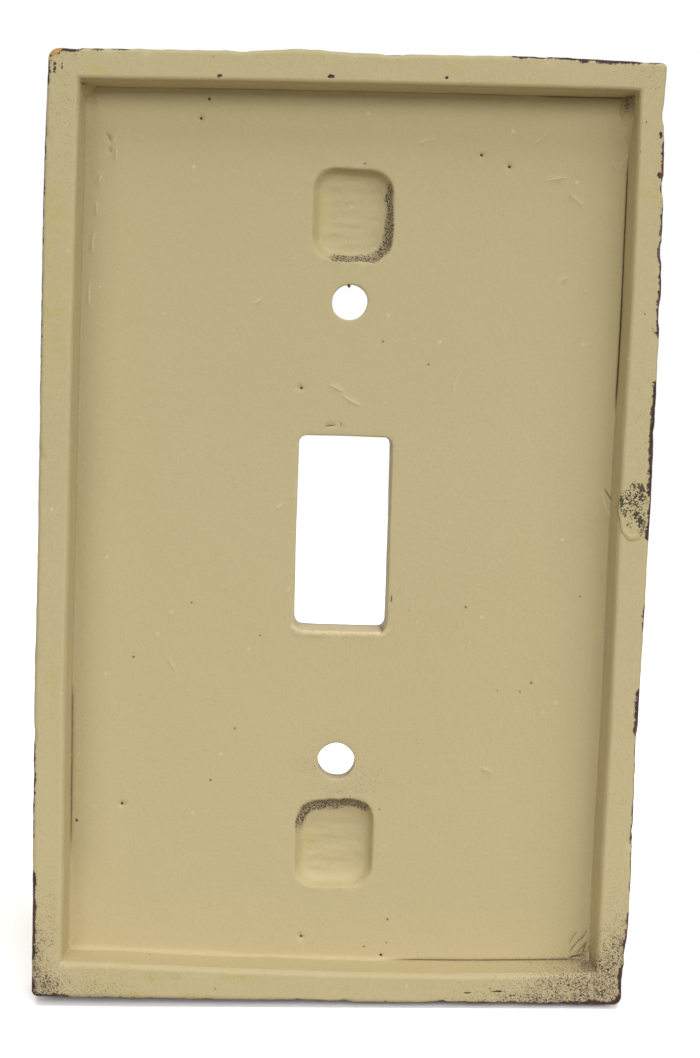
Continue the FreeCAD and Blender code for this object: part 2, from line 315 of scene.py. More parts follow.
# Where dark paint dust has settled on the khaki: x, z, half width, half height, how dense.
OVERSPRAY = [
    (-39, -61, 19, 13, 0.95), (-38.5, -57, 6, 20, 0.7), (-29, -61, 20, 7, 0.65), (-18, -61.5, 14, 3, 0.3),
    (40, -60, 3.5, 14, 0.9), (38, -56, 5, 20, 0.5), (32, -61, 15, 4.5, 0.6), (39, -61, 5, 4, 0.5),
    (33, -53, 7, 9, 0.14), (37, 56, 6, 20, 0.34), (31, 49, 5, 8, 0.12), (-37, 60, 8, 6, 0.36),
    (-38.8, 44, 1.8, 18, 0.42), (-37.5, 12, 3, 26, 0.3), (-37.5, -30, 3, 26, 0.16), (0, 60.5, 36, 3, 0.16),
    (37.5, 10, 3, 50, 0.14), (-1.5, -29.5, 10, 7, 0.34), (4, -31, 5, 4, 0.4), (-5, -33, 10, 5, 0.28),
    (0.5, -34.6, 8, 2, 0.42),
]

# The dust that has settled is thinner than what the pockets have caught.
DUSTED = 0.71

# Open stretches of the joint between the frame and the panel: side, from, to, how open. Each closes
# over a fade at its ends.
JOINT_FADE = 6
OPEN_JOINT = [
    ("right", -44, 14, 0.25), ("right", 20, 46, 0.9), ("left", -40, -24, 0.7), ("left", -23, 50, 0.3),
    ("bottom", -31, -12, 0.7), ("top", -33, -26, 0.6), ("top", -20, 34, 0.35),
]

# Yellowish stains: x, z, half width, half height, how strong.
STAINS = [
    (37.6, 41, 1.8, 4, 0.7), (36.9, 26, 1.2, 9, 0.5), (-37.5, 44.5, 1.6, 1.6, 0.7),
    (23.5, -58.6, 2, 0.9, 1.2), (20.5, -58.4, 1.6, 0.7, 1.1), (27.4, -57.9, 1.8, 0.8, 1),
    (17.5, -60.8, 2.8, 0.6, 1.2), (26, -60.8, 2.8, 0.6, 1), (33, 58.5, 1.6, 1.2, 0.6), (-37, 4, 2, 5, 0.5),
    (12, -58.2, 4.5, 0.6, 0.7), (-12, 59.5, 1.5, 1.3, 0.5), (36.8, -20, 1, 6, 0.5), (4, 42, 2.5, 6, 0.35),
    (3.8, -42, 2.5, 5, 0.4), (30, -59.5, 5, 1.6, 0.4), (37.8, 30, 1.4, 24, 0.3),
    (-36.6, 2.6, 1.2, 1.8, 0.5),
]


def side_place(points, side):
    """How much points lie along a side (0 to 1), and how far along it."""
    x, z = points[:, 0], points[:, 2]
    sign = 1 if side in ("left", "top") else -1
    if side in ("left", "right"):
        return ramp(sign * x, WELL_X - 3, WELL_X - 0.5), z
    return ramp(sign * z, WELL_Z - 3, WELL_Z - 0.5), x


def along_sides(points, stretches, soft):
    """The strongest of the listed stretches at each point."""
    total = np.zeros(len(points))
    for side, start, end, amount in stretches:
        share, place = side_place(points, side)
        total = np.maximum(total, share * stretch(place, start, end, soft) * amount)
    return total


def open_joint(points):
    """How open the joint is along the sides, from 0 to 1."""
    return along_sides(points, OPEN_JOINT, JOINT_FADE)


def pooled(points, places):
    """The sum of soft spots at each point, at most 1."""
    total = np.zeros(len(points))
    for x, z, wide, tall, amount in places:
        total += amount * blob(points, x, z, wide, tall)
    return np.minimum(total, 1)


# ---- rim frame

BEAD = 1.3
LOOP_STEPS, CORNER_STEPS = (151, 237), 11
CORNER_RADII = {(1, 1): 1.3, (-1, 1): 0.7, (-1, -1): 1.2, (1, -1): 0.8}


def quarter(part, centre_out, centre_y, radius, start, end, steps):
    """Rows (out, y, part) on part of a circle, in the frame's cross-section."""
    turn = np.radians(np.linspace(start, end, steps))
    return [(centre_out + radius * math.cos(a), centre_y + radius * math.sin(a), part) for a in turn]


def front_moulding(out):
    """How far the frame's front lies behind its foremost plane: a bead, a groove and a cove."""
    groove = 0.55 * math.exp(-((out - 1.55) / 0.42) ** 2)
    ledge = 0.22 * float(ramp(out, 1.4, 0.9))
    cove = 1.15 * max(0, (-out - 0.9) / 2.3) ** 1.7
    return groove + ledge + cove


def frame_section():
    """The frame's cross-section: (out from the well's wall, y, part) all the way round."""
    wide, draft = RIM_WIDTH, FRONT_X - BACK_X
    bead_out = wide + draft - BEAD
    side_top, side_end = BACK_Y - ROUND_OUT, FRONT_Y + BEAD
    rows = quarter("back", ROUND_IN, BACK_Y - ROUND_IN, ROUND_IN, 180, 96, 6)
    rows += [(o, BACK_Y, "back") for o in np.linspace(ROUND_IN, wide - ROUND_OUT, 17)]
    rows += quarter("back", wide - ROUND_OUT, side_top, ROUND_OUT, 80, 0, 7)
    rows += [(wide + draft * share, side_top + (side_end - side_top) * share, "side")
             for share in np.linspace(0, 1, 20)[1:]]
    rows += quarter("front", bead_out, side_end, BEAD, -8, -82, 8)
    rows += [(o, FRONT_Y + front_moulding(o), "front") for o in np.linspace(bead_out, -LIP_WIDTH, 30)]
    rows += [(-LIP_WIDTH, PANEL_Y + 0.02, "hidden"), (-0.01, PANEL_Y + 0.02, "hidden")]
    rows += [(0, y, "hidden") for y in (PANEL_Y, -0.6)]
    rows += [(-FOOT_IN * (1 - y / BACK_Y), y, "wall")
             for y in np.linspace(-0.3, BACK_Y - ROUND_IN, 24)[:-1]]
    return rows


def round_trip(half_x, half_z, radii, turns, runs, bulge=0):
    """Places round a rectangle with round corners, with so many turns to each and runs between."""
    path = []
    for index, (sx, sz) in enumerate(CORNERS):
        radius, axis = radii[index], index % 2
        for turn in np.radians(np.linspace(index * 90, index * 90 + 90, turns)):
            path.append((sx * (half_x - radius) + radius * math.cos(turn),
                         sz * (half_z - radius) + radius * math.sin(turn)))
        following = (index + 1) % 4
        end = np.array(CORNERS[following]) * [half_x, half_z]
        end[axis] -= math.copysign(radii[following], end[axis])
        line = np.linspace(path[-1], end, runs[axis] + 1)[1:-1]
        swell = bulge * np.sin(np.linspace(0, np.pi, runs[axis] + 1))[1:-1]
        line[:, 1 - axis] += np.copysign(swell, line[:, 1 - axis])
        path += line.tolist()
    return np.array(path)


def frame_loop(out, y):
    """One closed loop round the frame at a place in its cross-section."""
    share = min(max(out / RIM_WIDTH, 0), 1)
    radii = [WELL_RADIUS + (CORNER_RADII[corner] - WELL_RADIUS) * share for corner in CORNERS]
    half_z = WELL_Z + out + (RAIL_WIDTH - RIM_WIDTH) * share
    return flat(*round_trip(WELL_X + out, half_z, radii, CORNER_STEPS, LOOP_STEPS).T, y)


def make_frame():
    """The frame: its section swept round the plate, then dented, chipped and made uneven."""
    rows = frame_section()
    loops = [frame_loop(out, y) for out, y, part in rows]
    around = len(loops[0])
    points = np.concatenate(loops)
    out = np.repeat([row[0] for row in rows], around)
    part = np.repeat([row[2] for row in rows], around)
    path = np.repeat(path_from_edge(rows), around)

    is_back, is_side, is_wall = part == "back", part == "side", part == "wall"
    share = np.clip(out / RIM_WIDTH, 0, 1)
    outward = outward_way(points)
    ragged = is_back * ramp(out, RIM_WIDTH - 1.2, RIM_WIDTH - 0.2)
    ragged += is_side * ramp(points[:, 1], 2.5, 4.5)
    chips = ramp(grain(points, 4.2, 11), 0.15, 0.7) * 0.38 + 0.07 * grain(points, 1.2, 12)
    push = -ragged * np.maximum(chips, -0.06) + 0.07 * is_side * grain(points, 9, 13)
    push += 0.07 * is_wall * grain(points, 7, 14) + 0.05 * grain(points, 4, 15) * is_back
    points[:, [0, 2]] += outward * push[:, None]

    lower = PATCH_RISE + 0.05 - 0.07 * grain(points, 8, 16) - 0.02 * grain(points, 1.6, 17)
    lower += 0.3 * ragged * ramp(grain(points, 2.4, 18), 0.35, 0.8)
    points[:, 1] -= is_back * np.maximum(lower, 0)
    points[:, 1] += (part == "front") * (0.07 + 0.06 * grain(points, 2.6, 19) + 0.05 * grain(points, 9, 20))

    marks = frame_marks(points, part, path)
    points = wander(points, share)
    points = np.clip(points, [-FRONT_X, FRONT_Y, -FRONT_Z], [FRONT_X, BACK_Y, FRONT_Z])
    return closed_mesh("frame_painted", points, ring_faces(around, len(rows), True), marks)


def path_from_edge(rows):
    """How far each row of the section is inwards (+) from the back's outer edge."""
    places = np.array([row[:2] for row in rows])
    steps = np.hypot(*np.diff(places, axis=0).T)
    run = np.concatenate([[0], np.cumsum(steps)])
    edge = max(i for i, row in enumerate(rows) if row[2] == "back")
    return run[edge] - ROUND_OUT * 0.8 - run


def outward_way(points):
    """Unit directions out of the plate's outline, across corners as well."""
    across = points[:, [0, 2]]
    over = np.sign(across) * np.maximum(np.abs(across) - [WELL_X - 1, WELL_Z - 1], 0)
    return over / np.maximum(np.hypot(*over.T), 1e-6)[:, None]


def frame_marks(points, part, path):
    """Where the frame is dark, dusted, rubbed, stained and grimy, with painted shade in the crease at the
    wall's foot.
    """
    worn = UNWORN + along_sides(points, [(*edge[:3], edge[3] - UNWORN) for edge in WORN_EDGES], 0.9)
    worn += 0.16 * grain(points, 2.2, 31)
    dark = np.where(np.isin(part, ("front", "hidden")), 1, 0.5 + (worn - path) / 1.2)
    dark = np.where(part == "wall", 0, dark)
    dark = np.maximum(dark, 0.95 * pooled(points, CHIPS) * (part == "back"))
    rubbed = np.where(part == "front", 0.3, 0) + ramp(points[:, 1], FRONT_Y + 1, FRONT_Y) * 0.4
    rubbed += 2 * blob(points, 38.8, 61, 2.1, 1.1) * (part != "wall")
    # Painted shade: the wall is darkened a little all round its foot, and more where the joint is open.
    foot = np.where(part == "wall", ramp(points[:, 1], 0.3, 0), 0)
    grime_and_shade = foot * (0.05 + 0.4 * open_joint(points))
    return {"dark": dark, "dust": DUSTED * pooled(points, OVERSPRAY), "rub": rubbed,
            "stain": pooled(points, STAINS), "grime_and_shade": grime_and_shade}


# ---- face panel

# Small holes in the paint: x, z.
PINHOLES = [
    (-16.2, 49.3), (-19.8, 47.9), (34.2, -39.5), (28.2, -37), (4, -54.1), (6, 18.9), (-6.8, -56.4),
    (20, 53.2), (19, 55.7),
]
PINHOLE_RADIUS = 0.2

# Dust in each pocket: which pocket, on which side (x, z), from how far out, how wide.
CAUGHT_DUST = [(1, -0.75, -0.66, 0, 1.1), (-1, 0.25, 0.97, 0.3, 1.7)]

# (distance in from a pocket's mouth, depth there)
POCKET_WALL = [(0, 0.03), (0.12, 0.2), (0.3, 0.72), (0.55, 1.32), (0.85, 1.66), (1.25, 1.84),
               (1.8, 1.95), (2.6, 2)]


def rounded(half_x, half_z, radius, step, bulge=0):
    """Places round a rounded rectangle, evenly spaced, its sides bulging a little."""
    turns = max(4, int(radius * 1.57 / step))
    runs = [max(2, int(2 * (half - radius) / step)) for half in (half_x, half_z)]
    return round_trip(half_x, half_z, [radius] * 4, turns, runs, bulge)


def circle(radius, steps, wobble=0, seed=0):
    """Places round a circle, which a wobble makes a little uneven."""
    turn = full_turn(steps)
    waves = np.sin(2 * turn + seed) + 0.6 * np.sin(3 * turn + 2 * seed) + 0.5 * np.sin(5 * turn)
    return (radius * (1 + wobble * waves) * np.stack([np.cos(turn), np.sin(turn)])).T


def flat_side(outlines, spacing, height, keep, extra=()):
    """A side of the panel between outlines. keep says which triangles stay."""
    fixed = np.array([place for outline in outlines for place in outline] + list(extra))
    edges = []
    for outline in outlines:
        first, count = len(edges), len(outline)
        edges += [(first + i, first + (i + 1) % count) for i in range(count)]
    loose = even_places(spacing)
    places = np.concatenate([fixed, loose[clear_of(loose, fixed, spacing * 0.55)]])
    result = delaunay_2d_cdt([Vector(place) for place in places], edges, [], 0, 1e-7)
    verts = np.array([tuple(place) for place in result[0]])
    stays = keep(*verts[np.array(result[2])].mean(axis=1).T)
    faces = [tuple(face) for face, kept in zip(result[2], stays) if kept]
    return flat(*verts.T, height(*verts.T)), faces


def even_places(spacing):
    """Evenly spread places over the well, nudged so that no row shows."""
    rows = np.arange(-WELL_Z, WELL_Z, spacing * 0.87)
    columns = np.arange(-WELL_X, WELL_X, spacing)
    x, z = np.meshgrid(columns, rows)
    x = x + (np.arange(len(rows)) % 2)[:, None] * spacing / 2
    places = np.stack([x.ravel(), z.ravel()], axis=1)
    spots = flat(*places.T) * 3.1
    places += spacing * 0.22 * np.stack([lumps(spots, 1, 51), lumps(spots, 1, 52)], axis=1)
    return places[box_gap(*places.T, WELL_X, WELL_Z, WELL_RADIUS) < -spacing * 0.5]


def clear_of(loose, fixed, distance):
    """Which loose places have no fixed place near them."""
    return np.array([((fixed - place) ** 2).sum(axis=1).min() >= distance ** 2 for place in loose])


def pocket_distance(x, z, side):
    """Distance in from a pocket's mouth, positive inside."""
    lean = POCKET_LEAN * x * side
    return -box_gap(x, z - side * POCKET_Z - lean, *POCKET_HALF, POCKET_RADIUS)


def pocket_depth(x, z, side):
    """A pocket's depth: its wall slopes gently on one side, and its floor is brushed."""
    inside = pocket_distance(x, z, side)
    gentle = 1 + 0.55 * ramp(x, 1.5, 5)
    depth = np.interp(inside / gentle, *np.array(POCKET_WALL).T, left=0)
    depth = np.where(inside < 0, -0.05 * ramp(inside, -0.5, -0.1), depth)
    points = flat(x, z)
    brushed = 0.07 * grain(points, 4, 63 + side)
    brushed += 0.13 * grain(points * [0.2, 1, 1], 0.75, 66 + side, 2)
    return depth - ramp(inside, 0.8, 2.4) * brushed


def speckled_walls(x, z):
    """Where dark dust has caught on the pockets' walls."""
    total = np.zeros(len(x))
    for side, across, up, start, reach in CAUGHT_DUST:
        inside = pocket_distance(x, z, side) + 0.3 * lumps(flat(x, z), 1.5, 68)
        toward = x * across / POCKET_HALF[0] + (z - side * POCKET_Z) * up / POCKET_HALF[1]
        wider = reach + 0.5 * ramp(toward, 0.7, 1.1)
        band = ramp(inside, -0.05, 0.15) * ramp(inside, wider + 0.3, wider - 0.4)
        total = np.maximum(total, band * ramp(toward, start, start + 0.35))
    return total


def pinholes(x, z, edge, full):
    """1 in a pinhole, 0 off it. Its edge lies between two shares of its radius."""
    away = np.min([np.hypot(x - px, z - pz) for px, pz in PINHOLES], axis=0)
    return ramp(away, PINHOLE_RADIUS * edge, PINHOLE_RADIUS * full)


def back_height(x, z):
    """The panel's back face, with its pockets, soft edges, pinholes and strokes."""
    points = flat(x, z)
    height = 0.05 * grain(points, 26, 61) + 0.012 * grain(points, 3.5, 62)
    for side in (1, -1):
        height -= pocket_depth(x, z, side)
        height -= 0.05 * ramp(from_screw(x, z, side) - HOLE_RADIUS[side], 0.3, 0)
    gap = slot_gap(x, z)
    height -= 0.07 * ramp(gap, 0.3, 0)
    ridge = under_slot(z) * ramp(gap, 0.7, 0.4) * ramp(gap, 0.05, 0.3)
    height += ridge * (0.1 + 0.16 * grain(points, 0.9, 64)) + well_edge(points)
    height -= 0.35 * pinholes(x, z, 1.15, 0.4)
    for *line, rise, dark in STROKES:
        height += rise * stroke(x, z, *line)
    return height


STROKE_BEND = 0.06
# Marks in the panel: x, z, lean in degrees, half length, half width, rise or depth, how dark.
STROKES = [
    (2.1, 14.1, 172, 0.8, 0.1, -0.1, 0.8), (0.7, 14.3, 100, 0.4, 0.09, -0.08, 0.6),
    (-0.6, 17.4, 30, 1.6, 0.12, 0.05, 0), (1.4, 19, 25, 1.2, 0.1, 0.04, 0),
    (-34.6, 6, 56, 1.3, 0.12, -0.12, 0.7), (-34.3, 4.6, 66, 2.4, 0.2, 0.08, 0),
    (-33.2, -54.7, 128, 1.8, 0.1, -0.05, 0.75), (-33.9, -55.4, 130, 1.3, 0.1, -0.05, 0.8),
    (-32.7, -53.9, 122, 1.3, 0.09, -0.04, 0.6), (-34.2, -53.6, 118, 1, 0.09, -0.05, 0.6),
    (-33.2, -56.5, 168, 1.3, 0.22, -0.12, 0.8), (-34.3, -55.4, 105, 1.2, 0.14, -0.1, 0.6),
    (-34.5, 49.2, 120, 1.4, 0.12, 0.07, 0), (-33.4, 48.2, 50, 0.9, 0.1, 0.06, 0),
    (34.7, 56.8, 45, 0.8, 0.25, -0.14, 0.9), (33.4, 55.2, 80, 0.8, 0.16, 0.1, 0),
    (-26, 46.6, 170, 1.6, 0.09, 0.05, 0), (-28.5, 44, 40, 1.4, 0.08, 0.04, 0),
    (-23.5, 51.5, 140, 1.2, 0.1, 0.05, 0), (-27.3, 33.8, 140, 0.7, 0.1, 0.05, 0),
    (31.9, 50.6, 60, 0.7, 0.16, -0.14, 0.4), (31.2, 50.2, 110, 0.6, 0.16, 0.14, 0),
    (30.9, 48.4, 95, 0.8, 0.16, 0.14, 0), (31.7, 49, 70, 0.5, 0.14, -0.12, 0.3),
    (32.9, 45.2, 105, 0.7, 0.16, 0.14, 0), (33.6, 37, 92, 1.6, 0.2, 0.12, 0),
    (33.2, 41.5, 85, 1.1, 0.16, 0.08, 0), (33.9, 30.5, 90, 2.2, 0.18, 0.07, 0),
    (8.6, 3.2, 120, 0.3, 0.22, 0.08, 0), (6.9, -7.6, 110, 0.5, 0.18, 0.06, 0),
    (-6.6, -8.4, 94, 0.6, 0.13, -0.12, 0.85), (12, 30, 150, 0.9, 0.1, 0.04, 0),
    (-14, 20, 105, 2.2, 0.1, 0.035, 0), (-9, 51, 165, 1.4, 0.1, 0.04, 0), (22, -18, 60, 1.2, 0.1, 0.04, 0),
    (-20, -31, 20, 1, 0.1, 0.04, 0),
]


def stroke(x, z, px, pz, lean, long, wide):
    """A soft short line, slightly bent: 1 on it, 0 off it."""
    c, s = math.cos(math.radians(lean)), math.sin(math.radians(lean))
    along, across = (x - px) * c + (z - pz) * s, (z - pz) * c - (x - px) * s
    across = across - STROKE_BEND * along ** 2
    return ramp(np.abs(along), long, long * 0.4) * ramp(np.abs(across), wide, wide * 0.2)


def well_edge(points):
    """A cove of paint up to the frame's wall, or a crevice where the joint is open."""
    inwards = np.maximum(foot_gap(points[:, 0], points[:, 2]), 0)
    opened = open_joint(points)
    radius = 0.48 * (1 - opened) * (1 + 0.25 * lumps(points, 9, 71)) + 1e-3
    short = np.maximum(radius - inwards, 0)
    cove = radius - np.sqrt(np.maximum(radius ** 2 - short ** 2, 0))
    crevice = opened * 0.4 * ramp(inwards, 0.17 + 0.04 * lumps(points, 5, 72), 0.05)
    return cove - crevice


def panel_keep(x, z):
    """True off the slot and the screw holes."""
    clear = slot_gap(x, z) > -0.02
    for side in (1, -1):
        clear &= from_screw(x, z, side) > HOLE_RADIUS[side] * 0.97
    return clear


def middle_and_half(places):
    """An outline's middle, and half its size each way."""
    high, low = places.max(axis=0), places.min(axis=0)
    return (high + low) / 2, (high - low) / 2


def slot_ring(share):
    """The slot's uneven outline at the back (0) to the front (1), where it is smaller."""
    places = rounded(*SLOT_HALF, SLOT_RADIUS, 0.45, 0.05)
    places = places * (1 + 0.004 * lumps(flat(*places.T), 3, 41)[:, None])
    places[:, 1] += share * 0.34 * ramp(places[:, 1], -8, -12)
    places[:, 0] += share * 0.22 * ramp(places[:, 0], -3, -6)
    return places


def hole_ring(side, radius):
    """A screw hole's uneven outline. The upper one has a burr at its top and a nick below."""
    places = circle(radius, 96, 0.012 if side > 0 else 0.014, 2 + side)
    if side > 0:
        burr = np.exp(-((places[:, 0] - 0.15) / 0.17) ** 2) * (places[:, 1] > 0)
        places[:, 1] -= 0.5 * burr
        nick = np.exp(-((places[:, 0] - 1.9) / 0.4) ** 2) * (places[:, 1] < 0)
        places[:, 0] += 0.09 * nick
    places[:, 1] += side * SCREW_Z
    return places


def pocket_places():
    """Closer points over the pockets' floors, for their brush marks."""
    x, z = np.meshgrid(np.arange(-4.4, 4.4, 0.34), np.arange(-5.2, 5.2, 0.26))
    x, z = x.ravel(), z.ravel()
    inner = box_gap(x, z, POCKET_HALF[0] - 1, POCKET_HALF[1] - 1, 2) < 0
    return [(a, b + side * POCKET_Z) for side in (1, -1) for a, b in zip(x[inner], z[inner])]


def stroke_places():
    """Points on and beside each stroke, but none beyond the panel's edge."""
    places = []
    for px, pz, lean, long, wide, rise, dark in STROKES:
        c, s = math.cos(math.radians(lean)), math.sin(math.radians(lean))
        for along in np.arange(-long, long + 0.01, 0.16):
            for across in (-1.1, -0.45, 0, 0.45, 1.1):
                lift = across * wide + STROKE_BEND * along ** 2
                places.append((px + along * c - lift * s, pz + along * s + lift * c))
    inside = box_gap(*np.array(places).T, WELL_X, WELL_Z, WELL_RADIUS) < -0.05
    return [place for place, kept in zip(places, inside) if kept]


def offset_rings():
    """Closely spaced loops of points where the panel's back bends."""
    rings = []
    for side in (1, -1):
        for inside in (-0.25, 0, 0.12, 0.3, 0.55, 0.85, 1.25, 1.8, 2.6):
            radius = max(POCKET_RADIUS - inside, 0.5)
            ring = rounded(POCKET_HALF[0] - inside, POCKET_HALF[1] - inside, radius, 0.36)
            ring[:, 1] += side * POCKET_Z + POCKET_LEAN * ring[:, 0] * side
            rings.append(ring)
        for gap in (0.15, 0.3, 0.8):
            rings.append(circle(HOLE_RADIUS[side] + gap, 60) + [0, side * SCREW_Z])
    for gap in (0.2, 0.42, 0.8):
        rings.append(rounded(SLOT_HALF[0] + gap, SLOT_HALF[1] + gap, SLOT_RADIUS + gap, 0.45))
    foot_x, foot_z = WELL_X - FOOT_IN, WELL_Z - FOOT_IN
    for gap in (0, 0.06, 0.14, 0.26, 0.45, 0.7, 1.1):
        step = 0.25 if gap < 0.2 else 0.3 if gap < 0.4 else 0.5
        rings.append(rounded(foot_x - gap, foot_z - gap, WELL_RADIUS, step))
    for x, z in PINHOLES:
        rings += [circle(PINHOLE_RADIUS * size, 9) + [x, z] for size in (0.4, 0.8, 1.2)]
    return rings


def front_keep(x, z):
    """True off the slot's front opening and the countersinks."""
    middle, half = middle_and_half(slot_ring(1))
    clear = box_gap(x - middle[0], z - middle[1], *(half + SLOT_BEVEL), SLOT_RADIUS) > -0.03
    for side in (1, -1):
        clear &= from_screw(x, z, side) > SINK_RADIUS * 0.98
    return clear


def strip(rings):
    """Rings of points, each (places, y values), joined by quads."""
    points = [flat(*places.T, y) for places, y in rings]
    return np.concatenate(points), ring_faces(len(rings[0][0]), len(rings))


def front_height(x, z):
    """The panel's front: flat, with slight unevenness."""
    points = flat(x, z)
    return PANEL_Y + 0.05 + 0.03 * grain(points, 6, 81) + 0.02 * grain(points, 1.8, 82)


def grown(places, gap):
    """An outline moved outwards from its own middle by a gap on each side."""
    middle, half = middle_and_half(places)
    return middle + (places - middle) * (1 + gap / half)


# The usual spacing of points over the panel's back and front.
BACK_SPACING, FRONT_SPACING = 0.62, 1.5
# The panel's parts in make_panel's order. The two screw holes come after.
BACK_FACE, FRONT_FACE, EDGE_FACE, SLOT_FACE = range(4)


def make_panel():
    """The panel as one closed mesh."""
    edge = rounded(WELL_X, WELL_Z, WELL_RADIUS, 0.5)
    back_slot, front_slot = slot_ring(0), grown(slot_ring(1), SLOT_BEVEL)
    back_holes = [hole_ring(side, HOLE_RADIUS[side]) for side in (1, -1)]
    front_holes = [hole_ring(side, SINK_RADIUS) for side in (1, -1)]
    extra = [place for ring in offset_rings() for place in ring]
    extra += stroke_places() + pocket_places()
    parts = [flat_side([edge, back_slot] + back_holes, BACK_SPACING, back_height, panel_keep, extra),
             flat_side([edge, front_slot] + front_holes, FRONT_SPACING, front_height, front_keep),
             strip([(edge, back_height(*edge.T)), (edge, front_height(*edge.T))])]
    slot_rows = [(back_slot, back_height(*back_slot.T))]
    slot_rows += [(slot_ring(share), -0.25 + (PANEL_Y + SLOT_BEVEL + 0.25) * share)
                  for share in np.linspace(0.02, 1, 9)]
    parts.append(strip(slot_rows + [(front_slot, front_height(*front_slot.T))]))
    for back, front in zip(back_holes, front_holes):
        rows = [(back, back_height(*back.T))]
        rows += [(back, y) for y in np.linspace(-0.3, PANEL_Y + SINK_DEPTH, 6)]
        parts.append(strip(rows + [(front, front_height(*front.T))]))

    points, faces = joined(parts)
    kinds = np.repeat(np.arange(len(parts)), [len(part[0]) for part in parts])
    marks = panel_marks(points, kinds)
    points[:, 1] = np.clip(wander(points, 0)[:, 1], PANEL_Y, None)
    return closed_mesh("panel_painted", points, faces, marks, 0.002)


# How dark the painted shade is along the foot of the left wall.
SHADED_FOOT = 0.15


def panel_marks(points, kinds):
    """Where the panel is dark, dusted, rubbed, stained and grimy, with painted shade along the left wall's
    foot and painted highlights that make it pale.
    """
    x, y, z = points.T
    on_back, on_front = kinds == BACK_FACE, kinds == FRONT_FACE
    near_front = ramp(y, PANEL_Y + 1.2, PANEL_Y + 0.4) * (kinds >= SLOT_FACE)
    opened = open_joint(points)
    grime_and_shade = opened * ramp(foot_gap(x, z), 0.2 + 0.05 * lumps(points, 4, 91), 0.06) * on_back
    grime_and_shade = np.maximum(grime_and_shade, 0.95 * ramp(y, -0.05, -0.25) * pinholes(x, z, 1.3, 0.7))
    pale = slot_highlights(points, kinds)
    for *line, rise, dark in STROKES:
        on_stroke = stroke(x, z, *line)
        grime_and_shade = np.maximum(grime_and_shade, on_stroke * dark)
        # Raised strokes get a painted highlight.
        pale = np.maximum(pale, 0.7 * on_stroke * (rise > 0))
    # Painted shade: a darker band along the foot of the left wall.
    shaded = SHADED_FOOT * stretch(z, -42, 48, 10) * ramp(WELL_X - x, 6, 1.2) * on_back
    grime_and_shade = np.maximum(np.maximum(grime_and_shade, shaded), 0.9 * blob(points, -5.6, -12.5, 0.35, 0.6) * ~on_front)
    dust = np.maximum(DUSTED * pooled(points, OVERSPRAY), speckled_walls(x, z)) * ~on_front
    return {"dark": np.maximum(on_front, near_front), "dust": dust,
            "rub": on_front * (0.3 + 0.5 * ramp(grain(points, 6, 92), 0, 0.8)),
            "stain": pooled(points, STAINS), "grime_and_shade": grime_and_shade, "pale": pale}


def slot_highlights(points, kinds):
    """Where painted highlights make the panel pale: the slot's lower face, and a ragged line round the
    slot.
    """
    x, y, z = points.T
    gap, below = slot_gap(x, z), under_slot(z)
    ridge = below * ramp(gap + 0.35 * grain(points, 1.2, 96), 0.75, 0.45)
    sides = 0.5 * ramp(gap, 0.35, 0.1) * ramp(grain(points, 3, 95), 0, 0.4)
    return np.maximum(np.maximum(ridge, sides) * (kinds == BACK_FACE), 0.8 * below * (kinds == SLOT_FACE))


# ---- fillers

# Each smear of filler in a corner: which corner (x, z signs), run down the side wall, height, reach.
SMEARS = [(-1, 1, 6.6, 2.2, 1.35), (-1, -1, 2, 0.7, 0.5), (1, 1, 1.9, 3.2, 1.4)]
SMEAR_ROWS = 44


def smear_section(height, reach):
    """A hollow fillet's section from up the wall, down to the floor and back inside."""
    curve = [(reach * (1 - (1 - t) ** 1.7), height * (1 - t) ** 1.7) for t in np.linspace(0, 1, 10)]
    return curve + [(reach * 0.6, -0.25), (-0.25, -0.25), (-0.25, height * 0.8)]


def make_smear(sign_x, sign_z, run, height, reach):
    """One smear as points and faces: it runs down the side wall and fades out."""
    points = []
    for part in np.linspace(0, 1, SMEAR_ROWS):
        fade = math.cos(part * math.pi / 2) ** 0.8 * 0.96 + 0.04
        swell = 1 + 0.3 * grain(np.array([[sign_x * 9, 0, part * run]]), 1.6, 101)[0]
        for out, up in smear_section(height * fade * swell, reach * fade * (2 - swell)):
            wall = WELL_X - FOOT_IN * (1 - up / BACK_Y)
            points.append((sign_x * (wall - out), up, sign_z * (WELL_Z - part * run)))
    points = np.array(points)
    around = len(points) // SMEAR_ROWS
    faces = ring_faces(around, SMEAR_ROWS)
    faces += [tuple(range(around)), tuple(range(len(points) - around, len(points)))]
    points[:, 1] += 0.05 * grain(points, 0.9, 102) * (points[:, 1] > 0.05)
    return wander(points, 0), faces


def make_corner_filler():
    """All the corner smears as one object."""
    points, faces = joined([make_smear(*smear) for smear in SMEARS])
    wall = ramp(np.abs(points[:, 0]), WELL_X - 0.3, WELL_X)
    specks = 1.3 * blob(points, -WELL_X + 0.5, WELL_Z - 0.9, 1.4, 2.4)
    specks += blob(points, WELL_X, WELL_Z, 1.8, 1.8)
    grime_and_shade = 0.3 * wall * (specks > 0.1) + 0.9 * blob(points, WELL_X - 0.5, WELL_Z - 0.4, 0.8, 0.8)
    grime_and_shade += 0.3 * specks + 0.15 * ramp(grain(points, 1, 103), 0.1, 0.6)
    # Painted highlight on the lit facet of the smear in the right top corner.
    lit_facet = blob(points, -WELL_X + 0.9, WELL_Z - 4.3, 1.1, 2.8)
    marks = {"dust": 0.06 + 0.6 * specks, "pale": 0.8 * lit_facet, "grime_and_shade": grime_and_shade}
    return closed_mesh("corner_smears", points, faces, marks)


PATCH_HALF = (1.95, 4.15)
PATCH_LEAN = 0.04
PATCH_SKIRT = 0.9


def patch_edge(turn):
    """How far out the patch's edge is, as a share of its half sizes."""
    return 1 + 0.035 * np.sin(3 * turn + 1) + 0.03 * np.sin(5 * turn) + 0.02 * np.sin(9 * turn + 2)


